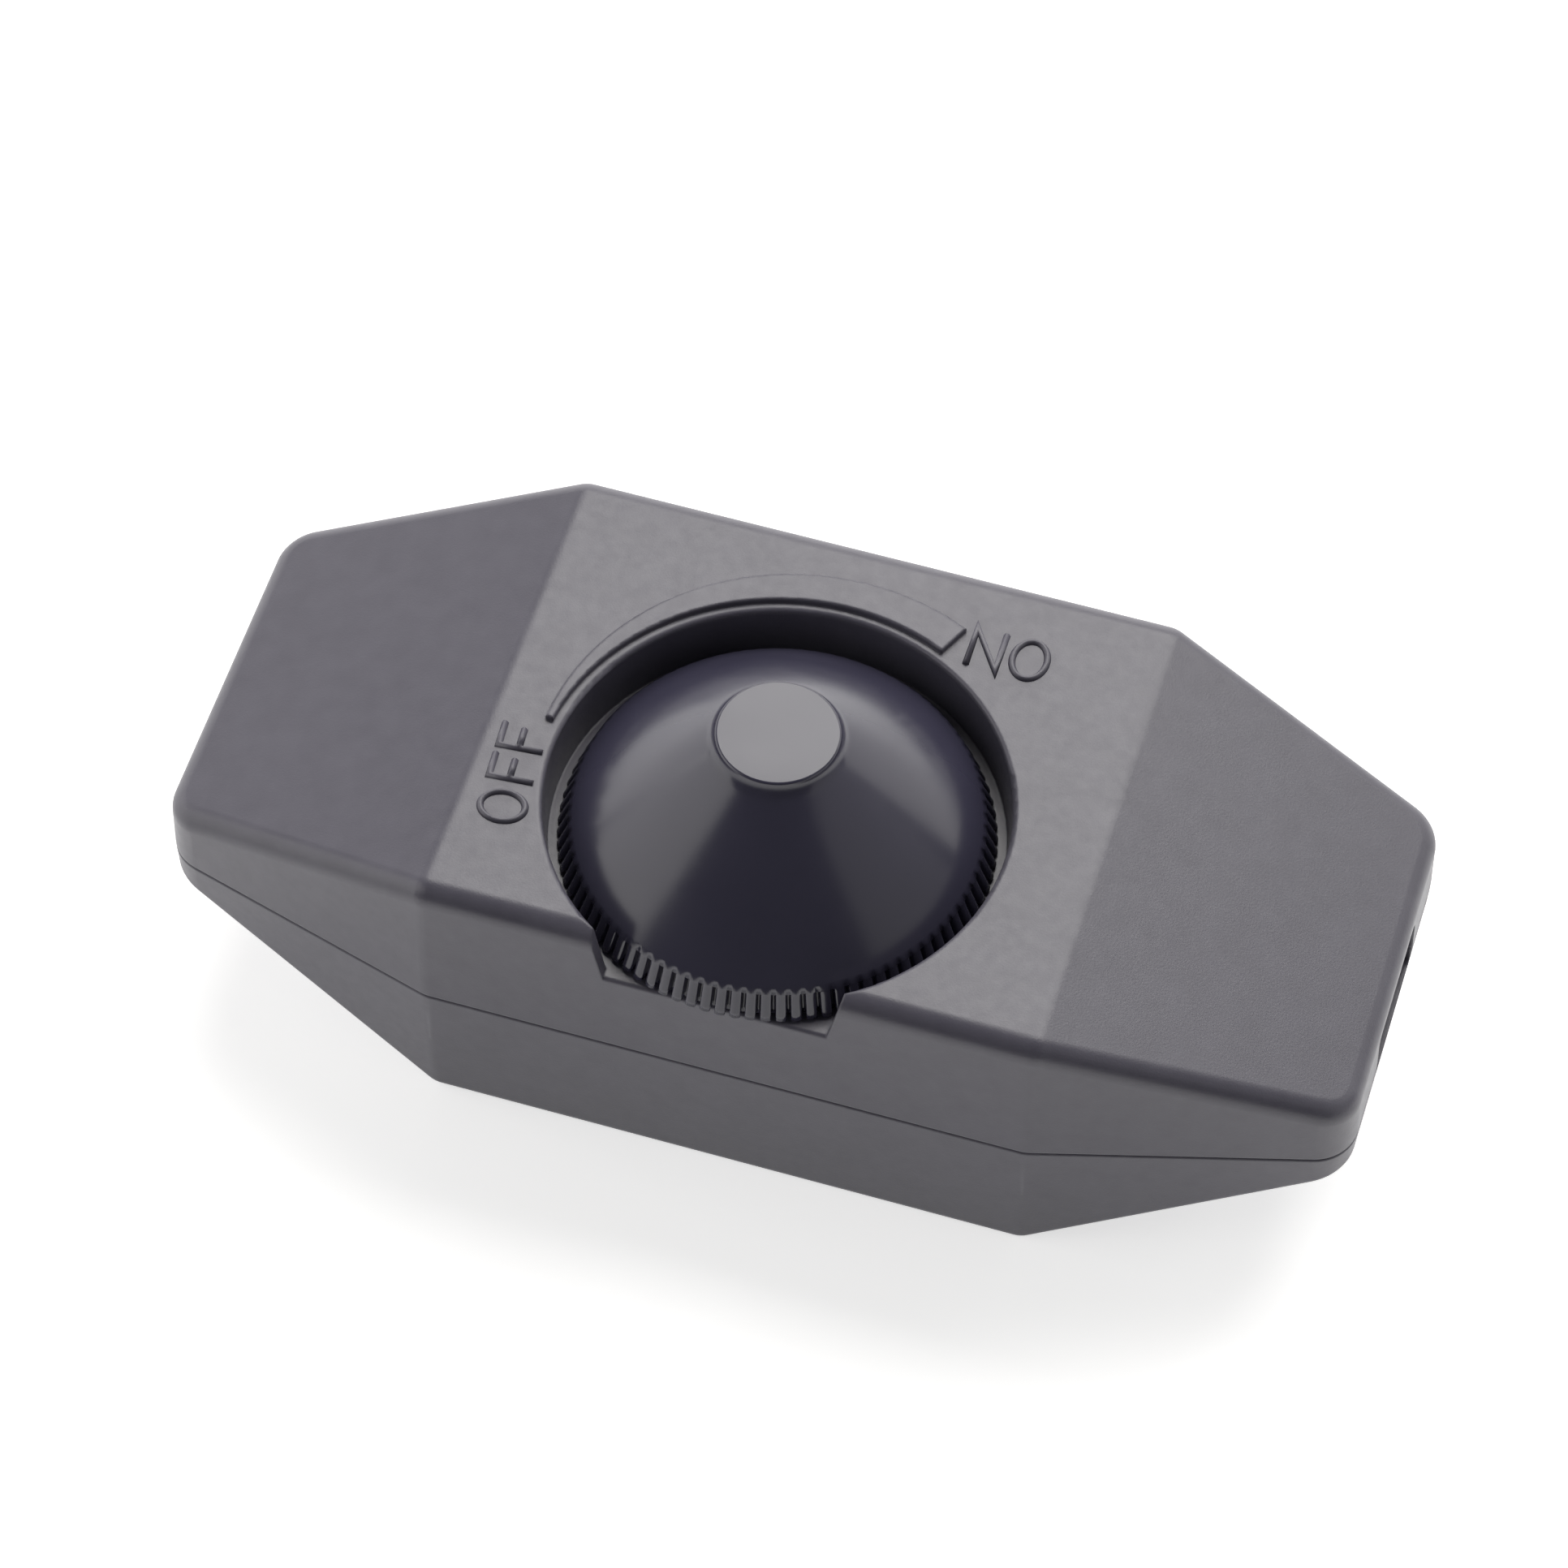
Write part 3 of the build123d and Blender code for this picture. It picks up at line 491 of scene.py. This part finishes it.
@dataclass
class RibbedKnob:
    """The domed knob as one fine mesh, with shallower ribs and a steeper rim than the solid's.

    Args:
        rib_count: ribs round the rim.
        rib_share: share of the pitch that a rib fills.
        valley_depth: depth of a rib.
        crest_depth: depth of a rib's rounded crest.
        crest_steps: steps round a rib's crest.
        foot_slope: share of the pitch over which a rib's side runs out.
        rim_inset: how far the ribs' tips stay inside the solid's.
        rib_fade: height over which the ribs' upper ends round off.
        shoulder_radius: radius where the flank starts.
        shoulder_rise: height of the shoulder over the knob's foot.
        neck_radius: radius where the flank meets the disc's neck.
        neck_drop: height of the disc over the flank's upper end.
        neck_hollow: how far the neck curves in under the disc.
        disc_radius: radius of the finger disc.
        disc_edge: radius of the disc's rounded edge.
        flank_bulge: how far the flank bows out.
        wall: wall of the hollow underside.
        flank_steps: rings along the flank.
        rim_steps: rings along the ribs, closer together at their upper ends.
        edge_steps: rings along the disc's edge, and along the neck.
        crease: angle in degrees over which an edge stays sharp.
        foot: height of the knob's foot, from the solid.
        top: height of the finger disc, from the solid.
        tip_radius: radius of the ribs' tips at the foot.
        centre: the knob's axis at the origin's height.
    """

    rib_count: int = 90
    rib_share: float = 0.70
    valley_depth: float = 0.65 * MM
    crest_depth: float = 0.14 * MM
    crest_steps: int = 6
    foot_slope: float = 0.02
    rim_inset: float = 0.3 * MM
    rib_fade: float = 0.6 * MM
    shoulder_radius: float = 14.3 * MM
    shoulder_rise: float = 2.05 * MM
    neck_radius: float = 5.0 * MM
    neck_drop: float = 1.2 * MM
    neck_hollow: float = 0.1 * MM
    disc_radius: float = 4.25 * MM
    disc_edge: float = 0.2 * MM
    flank_bulge: float = 0.28 * MM
    wall: float = 1.7 * MM
    flank_steps: int = 24
    rim_steps: int = 10
    edge_steps: int = 6
    crease: float = 32.0
    foot: float = field(init=False)
    top: float = field(init=False)
    tip_radius: float = field(init=False)
    centre: Vector = field(init=False)

    def __post_init__(self) -> None:
        """Take the knob's place, height and reach from the solid."""
        low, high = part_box("knob")
        self.foot = low.z
        self.top = high.z
        self.tip_radius = (high.x - low.x) / 2 - self.rim_inset
        self.centre = Vector(((low.x + high.x) / 2, (low.y + high.y) / 2, 0.0))

    def build(self, shop: Paintshop) -> bpy.types.Object:
        """Build the knob and hide the node that it stands for.

        Args:
            shop: where the finishes are.

        Returns:
            The knob.
        """
        mesh = bmesh.new()
        plan = self._rib_plan()
        rings = [self._ring(mesh, plan, *level) for level in self._outside() + self._inside()]
        for first, second in zip(rings, rings[1:]):
            for i in range(len(plan)):
                j = (i + 1) % len(plan)
                mesh.faces.new((first[i], first[j], second[j], second[i]))
        mesh.faces.new(rings[0])
        mesh.faces.new(rings[-1])
        for face in mesh.faces:
            face.smooth = True
        for edge in mesh.edges:
            if len(edge.link_faces) == 2 and edge.calc_face_angle(0.0) > math.radians(self.crease):
                edge.smooth = False
        piece = add_piece("knob_shape", mesh, Body.TURNING, "knob_plastic", shop)
        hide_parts("knob")
        return piece

    def _ring(self, mesh: bmesh.types.BMesh, plan: list[Point], radius: float,
              height: float) -> list[bmesh.types.BMVert]:
        """Add the points of one level of the knob.

        Args:
            mesh: where the points go.
            plan: turns and depths of the ribbed rim.
            radius: the level's radius at the ribs' tips.
            height: the level's height.

        Returns:
            The new points, in order round the axis.
        """
        strength = self._rib_strength(radius, height)
        ring = []
        for turn, depth in plan:
            reach = radius - depth * strength
            spot = Vector((reach * math.cos(turn), reach * math.sin(turn), height))
            ring.append(mesh.verts.new(self.centre + spot))
        return ring

    def _rib_plan(self) -> list[Point]:
        """Plan of the ribbed rim.

        Returns:
            Each point's turn in radians and its depth under the ribs' tips.
        """
        edge = self.rib_share / 2
        foot = edge + self.foot_slope
        pitch = 2 * math.pi / self.rib_count
        plan = []
        for rib in range(self.rib_count):
            plan.append(((rib - foot) * pitch, self.valley_depth))
            for i in range(self.crest_steps + 1):
                lean = math.pi * (i / self.crest_steps - 0.5)
                depth = self.crest_depth * (1 - math.cos(lean))
                plan.append(((rib + edge * math.sin(lean)) * pitch, depth))
            plan.append(((rib + foot) * pitch, self.valley_depth))
        return plan

    def _rib_strength(self, radius: float, height: float) -> float:
        """Share of the ribs' full depth that a ring of the profile has.

        Args:
            radius: the ring's radius.
            height: the ring's height.

        Returns:
            0 off the rim, 1 on it, and less where the ribs round off.
        """
        below = self.foot + self.shoulder_rise - height
        if radius < self.shoulder_radius or below <= 0:
            return 0.0
        lift = 1 - min(1.0, below / self.rib_fade)
        return math.sqrt(1 - lift * lift)

    def _outside(self) -> list[Point]:
        """Outer profile from the middle of the disc to the rim's foot.

        Returns:
            Radius and height of each level.
        """
        shoulder = (self.shoulder_radius, self.foot + self.shoulder_rise)
        neck = (self.neck_radius, self.top - self.neck_drop)
        flat_radius = self.disc_radius - self.disc_edge
        profile = [(flat_radius / 2, self.top), (flat_radius, self.top)]
        for i in range(1, self.edge_steps + 1):
            turn = math.pi / 2 * i / self.edge_steps
            profile.append((flat_radius + self.disc_edge * math.sin(turn),
                            self.top - self.disc_edge * (1 - math.cos(turn))))
        profile += self._arc(profile[-1], neck, -self.neck_hollow, self.edge_steps)[1:-1]
        profile += self._arc(neck, shoulder, self.flank_bulge, self.flank_steps)
        for i in range(1, self.rim_steps + 1):
            share = (i / self.rim_steps) ** 2
            profile.append((shoulder[0] + (self.tip_radius - shoulder[0]) * share,
                            shoulder[1] + (self.foot - shoulder[1]) * share))
        return profile

    def _inside(self) -> list[Point]:
        """Inner profile from the foot of the rim to the hollow's ceiling.

        Returns:
            Radius and height of each level.
        """
        low = (self.shoulder_radius - self.wall, self.foot + self.shoulder_rise - self.wall)
        high = (self.neck_radius, self.top - self.neck_drop - 2 * self.wall)
        slope = self._arc(high, low, self.flank_bulge, self.flank_steps)
        return [(low[0], self.foot), *reversed(slope), (high[0] / 2, high[1])]

    @staticmethod
    def _arc(upper: Point, lower: Point, bulge: float, steps: int) -> list[Point]:
        """Round arc from an upper to a lower profile point.

        Args:
            upper: the arc's upper end.
            lower: the arc's lower end.
            bulge: how far the arc bows out, or in if it is less than 0.
            steps: parts that the arc is divided into.

        Returns:
            The arc's points, both ends among them.
        """
        run = math.hypot(upper[0] - lower[0], upper[1] - lower[1])
        bend = (run * run / 4 + bulge * bulge) / (2 * bulge)
        half = math.asin(run / 2 / bend)
        along = ((lower[0] - upper[0]) / run, (lower[1] - upper[1]) / run)
        outward = (-along[1], along[0])
        middle = ((upper[0] + lower[0]) / 2, (upper[1] + lower[1]) / 2)
        points = []
        for i in range(steps + 1):
            turn = -half + 2 * half * i / steps
            forward = bend * math.sin(turn)
            side = bend * math.cos(turn) - (bend - bulge)
            points.append((middle[0] + along[0] * forward + outward[0] * side,
                           middle[1] + along[1] * forward + outward[1] * side))
        return points


CRESCENT_RELIEF = 0.45 * MM


def panel_height() -> float:
    """Height of the flat panel, which lies under the crescent's top.

    Returns:
        The height in metres.
    """
    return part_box("top_cover")[1].z - CRESCENT_RELIEF


@dataclass(frozen=True)
class RaisedWord:
    """A word of raised strokes on the housing's flat panel, all sizes in millimetres.

    Args:
        name: the piece's name.
        letters: the letters to build, from those that the strokes know.
        origin: lower left corner of the first letter.
        turn: direction of reading in degrees from +X.
        cap_height: height of a letter.
        spacing: gap between letters.
        crest: half width of a stroke's flat crest.
        stroke: half width of a stroke at its shoulders.
        foot: half width of a stroke at the panel.
        relief: height of a stroke.
        shoulder: height of a stroke's shoulders.
        sink: depth to which a stroke reaches into the panel.
        curve_steps: points round an O.
        bend_limit: least share of the width that a bend's corner is worked out with.
    """

    name: str
    letters: str
    origin: Point
    turn: float
    cap_height: float = 3.1
    spacing: float = 0.7
    crest: float = 0.05
    stroke: float = 0.12
    foot: float = 0.25
    relief: float = 0.26
    shoulder: float = 0.21
    sink: float = 0.05
    curve_steps: int = 48
    bend_limit: float = 0.35

    WIDTHS: ClassVar[dict[str, float]] = {"O": 2.4, "F": 1.9, "N": 2.1}
    BEARINGS: ClassVar[dict[str, float]] = {"O": 0.4, "F": 0.0, "N": 0.15}
    BAR_HEIGHT: ClassVar[float] = 0.54
    BAR_REACH: ClassVar[float] = 0.85
    LEVEL_STEP: ClassVar[float] = 0.004

    def build(self, shop: Paintshop) -> bpy.types.Object:
        """Build every stroke of the word as one piece.

        Args:
            shop: where the finishes are.

        Returns:
            The word.
        """
        mesh = bmesh.new()
        pen = 0.0
        for letter in self.letters:
            width = self.WIDTHS[letter]
            for level, (path, closed) in enumerate(self._strokes(letter, width)):
                points = [self._place(pen + x, y) for x, y in path]
                self._ridge(mesh, points, closed, level)
            pen += width + self.spacing + self.BEARINGS[letter]
        return add_piece(self.name, mesh, Body.FIXED, "shell_plastic", shop)

    def _strokes(self, letter: str, width: float) -> list[tuple[list[Point], bool]]:
        """Centre lines of a letter's strokes.

        Args:
            letter: O, F or N.
            width: the letter's width.

        Returns:
            Each stroke's points and whether its ends meet.
        """
        tall = self.cap_height
        if letter == "O":
            loop = []
            for i in range(self.curve_steps):
                turn = 2 * math.pi * i / self.curve_steps
                loop.append((width / 2 * (1 + math.cos(turn)), tall / 2 * (1 + math.sin(turn))))
            return [(loop, True)]
        if letter == "F":
            bar = self.BAR_HEIGHT * tall
            return [([(0.0, 0.0), (0.0, tall), (width, tall)], False),
                    ([(0.0, bar), (self.BAR_REACH * width, bar)], False)]
        return [([(0.0, 0.0), (0.0, tall), (width, 0.0), (width, tall)], False)]

    def _place(self, x: float, y: float) -> Vector:
        """Turn a point of the word's own plane into one on the panel.

        Args:
            x: how far along the word.
            y: how far up from the word's foot.

        Returns:
            The point in metres, at the origin's height.
        """
        turn = math.radians(self.turn)
        return Vector((self.origin[0] + x * math.cos(turn) - y * math.sin(turn),
                       self.origin[1] + x * math.sin(turn) + y * math.cos(turn), 0.0)) * MM

    def _ridge(self, mesh: bmesh.types.BMesh, points: list[Vector], closed: bool, level: int) -> None:
        """Add one raised stroke with sloping sides along a centre line.

        Args:
            mesh: where the stroke goes.
            points: its centre line.
            closed: whether its ends meet.
            level: lowers the stroke a hair under the ones before it.
        """
        lower = self.LEVEL_STEP * level
        right = [(self.crest, self.relief - lower), (self.stroke, self.shoulder - lower),
                 (self.foot, 0.0), (self.foot, -self.sink)]
        section = [(-reach, up) for reach, up in reversed(right)] + right
        panel = panel_height()
        rings = []
        for i, point in enumerate(points):
            across = self._across(points, i, closed)
            ring = []
            for reach, up in section:
                rise = Vector((0.0, 0.0, panel + up * MM))
                ring.append(mesh.verts.new(point + across * (reach * MM) + rise))
            rings.append(ring)
        pairs = list(zip(rings, rings[1:]))
        if closed:
            pairs.append((rings[-1], rings[0]))
        for first, second in pairs:
            for i in range(len(section)):
                j = (i + 1) % len(section)
                mesh.faces.new((first[i], first[j], second[j], second[i])).smooth = True
        if not closed:
            mesh.faces.new(rings[0])
            mesh.faces.new(rings[-1])

    def _across(self, points: list[Vector], i: int, closed: bool) -> Vector:
        """Direction across a stroke at one of its points.

        Args:
            points: the stroke's centre line.
            i: place of the point in the line.
            closed: whether the line's ends meet.

        Returns:
            A level vector of length 1, or longer where the stroke bends.
        """
        count = len(points)
        before = points[i - 1] if closed or i > 0 else None
        after = points[(i + 1) % count] if closed or i < count - 1 else None
        forward = (points[i] - before).normalized() if before is not None else None
        onward = (after - points[i]).normalized() if after is not None else None
        heading = ((forward or onward) + (onward or forward)).normalized()
        straightness = max(self.bend_limit, heading.dot(forward or onward))
        return Vector((-heading.y, heading.x, 0.0)) / straightness


# The words at the crescent's two ends: first letter's place and direction of reading
WORDS = (
    RaisedWord("word_off", "OFF", (-16.64, -11.18), 94.0),
    RaisedWord("word_no", "NO", (8.4, 10.6), 0.0, cap_height=3.2),
)


def direction(azimuth: float, elevation: float) -> Vector:
    """Direction away from the dimmer.

    Args:
        azimuth: turn from straight behind the dimmer towards +X, in degrees.
        elevation: height angle, in degrees.

    Returns:
        The unit vector.
    """
    turn, rise = math.radians(azimuth), math.radians(elevation)
    return Vector((math.sin(turn) * math.cos(rise), math.cos(turn) * math.cos(rise), math.sin(rise)))


@dataclass(frozen=True)
class Softbox:
    """One soft rectangular lamp.

    Args:
        name: the lamp's name.
        azimuth: its turn from straight behind the dimmer towards +X, in degrees.
        elevation: its height angle, in degrees.
        width: its width in metres.
        height: its height in metres.
        brightness: its radiance, where white paper in plain light has 1.
        distance: from the dimmer, in metres.
    """

    name: str
    azimuth: float
    elevation: float
    width: float
    height: float
    brightness: float
    distance: float = 0.8


LAMP_COLOUR = (1.0, 0.985, 0.955)
LAMPS = (
    Softbox("key_light", 2.0, 56.0, 0.85, 0.5, 5.2, 0.9),
    Softbox("left_light", -108.0, 24.0, 0.68, 0.72, 1.6),
    Softbox("right_fill_light", 90.0, 26.0, 0.75, 0.6, 0.45),
    Softbox("back_left_light", -60.0, 14.0, 0.72, 0.4, 1.7),
    Softbox("back_light", -12.0, 15.0, 0.68, 0.4, 2.2),
    Softbox("right_light", 36.0, 20.0, 0.68, 0.56, 1.4),
)


@dataclass
class Studio:
    """Floor, light and camera.

    Args:
        azimuth: camera's turn from the front, in degrees.
        elevation: camera's height angle, in degrees.
        roll: camera's roll, in degrees.
        distance: from the aim point to the camera, in metres.
        focal_pixels: focal length in pixels of the photograph's frame.
        aim: point that the camera looks at, in metres.
        sensor: width of the camera's sensor in millimetres.
        near_clip: distance under which the camera sees nothing, in metres.
        floor_side: side of the square floor in metres.
        floor_cells: squares along one side of the floor.
        floor_drop: how far the floor lies under the dimmer, in metres.
        floor_tone: the paper's colour, linear.
        floor_roughness: the paper's roughness.
        floor_lift: glow that makes the paper look white.
        room_light: strength of the even light from all sides.
    """

    azimuth: float = 16.66
    elevation: float = 55.36
    roll: float = 0.46
    distance: float = 0.4249
    focal_pixels: float = 7431.0
    aim: Triple = (-0.00307, 0.00558, 0.012)
    sensor: float = 36.0
    near_clip: float = 0.01
    floor_side: float = 4.0
    floor_cells: int = 8
    floor_drop: float = 0.00002
    floor_tone: float = 0.86
    floor_roughness: float = 0.9
    floor_lift: float = 0.62
    room_light: float = 0.08

    def build(self) -> None:
        """Set up everything round the dimmer."""
        self._camera()
        self._floor()
        self._world()
        for lamp in LAMPS:
            self._softbox(lamp)
        bpy.context.scene.view_settings.view_transform = "Standard"
        LOG.info("studio is ready")

    def _camera(self) -> None:
        """Place the camera where the photograph was taken from."""
        turn, roll = math.radians(self.azimuth), math.radians(self.roll)
        back = direction(180.0 - self.azimuth, self.elevation)
        right = Vector((math.cos(turn), math.sin(turn), 0.0))
        up = back.cross(right)
        rolled_right = math.cos(roll) * right + math.sin(roll) * up
        rolled_up = math.cos(roll) * up - math.sin(roll) * right
        data = bpy.data.cameras.new("camera")
        data.sensor_width = self.sensor
        data.lens = self.focal_pixels / PHOTO_SIDE * self.sensor
        data.clip_start = self.near_clip
        camera = bpy.data.objects.new("camera", data)
        bpy.context.scene.collection.objects.link(camera)
        place = Vector(self.aim) + back * self.distance
        turned = Matrix((rolled_right, rolled_up, back)).transposed().to_4x4()
        camera.matrix_world = Matrix.Translation(place) @ turned
        bpy.context.scene.camera = camera

    def _floor(self) -> None:
        """Lay a plain pale floor that looks white and keeps the shadow."""
        mesh = bmesh.new()
        cells = self.floor_cells
        bmesh.ops.create_grid(mesh, x_segments=cells, y_segments=cells, size=self.floor_side / 2)
        data = bpy.data.meshes.new("floor")
        mesh.to_mesh(data)
        mesh.free()
        data.materials.append(self._paper())
        floor = bpy.data.objects.new("floor", data)
        bpy.context.scene.collection.objects.link(floor)
        floor.location.z = -self.floor_drop

    def _paper(self) -> bpy.types.Material:
        """Make the floor's paper, which glows for the camera and in mirror images only.

        Returns:
            The material.
        """
        sheet = NodeSheet("floor_paper")
        shader = sheet.shader
        shader.inputs["Base Color"].default_value = (*[self.floor_tone] * 3, 1.0)
        shader.inputs["Roughness"].default_value = self.floor_roughness
        shader.inputs["Specular IOR Level"].default_value = 0.0
        path = sheet.add("ShaderNodeLightPath")
        mirrored = sheet.calculate("ADD", (path, "Is Glossy Ray"), (path, "Is Transmission Ray"))
        seen = sheet.calculate("ADD", (path, "Is Camera Ray"), (mirrored, "Value"))
        lift = sheet.spread(seen, "Value", 0.0, self.floor_lift, 0.0, 1.0)
        glow = sheet.add("ShaderNodeEmission")
        sheet.join(lift, "Result", glow, "Strength")
        total = sheet.add("ShaderNodeAddShader")
        sheet.join(shader, "BSDF", total, 0)
        sheet.join(glow, "Emission", total, 1)
        sheet.join(total, "Shader", sheet.output, "Surface")
        return sheet.material

    def _world(self) -> None:
        """Give the room a weak even light."""
        world = bpy.data.worlds.new("room")
        world.use_nodes = True
        backdrop = world.node_tree.nodes["Background"]
        backdrop.inputs["Color"].default_value = (1.0, 1.0, 1.0, 1.0)
        backdrop.inputs["Strength"].default_value = self.room_light
        bpy.context.scene.world = world

    @staticmethod
    def _softbox(lamp: Softbox) -> None:
        """Hang one soft rectangular lamp that faces the dimmer.

        Args:
            lamp: its place, size and brightness.
        """
        heading = direction(lamp.azimuth, lamp.elevation)
        data = bpy.data.lights.new(lamp.name, "AREA")
        data.shape = "RECTANGLE"
        data.size = lamp.width
        data.size_y = lamp.height
        data.energy = lamp.brightness * math.pi * lamp.width * lamp.height
        data.color = LAMP_COLOUR
        piece = bpy.data.objects.new(lamp.name, data)
        bpy.context.scene.collection.objects.link(piece)
        piece.location = heading * lamp.distance
        piece.rotation_euler = heading.to_track_quat("Z", "Y").to_euler()


def main() -> None:
    """Build the dimmer's looks in order."""
    logging.basicConfig(level=logging.INFO, format="%(name)s: %(message)s")
    shop = Paintshop()
    shop.dress_frame()
    RibbedKnob().build(shop)
    for word in WORDS:
        word.build(shop)
    Studio().build()


if __name__ == "__main__":
    main()
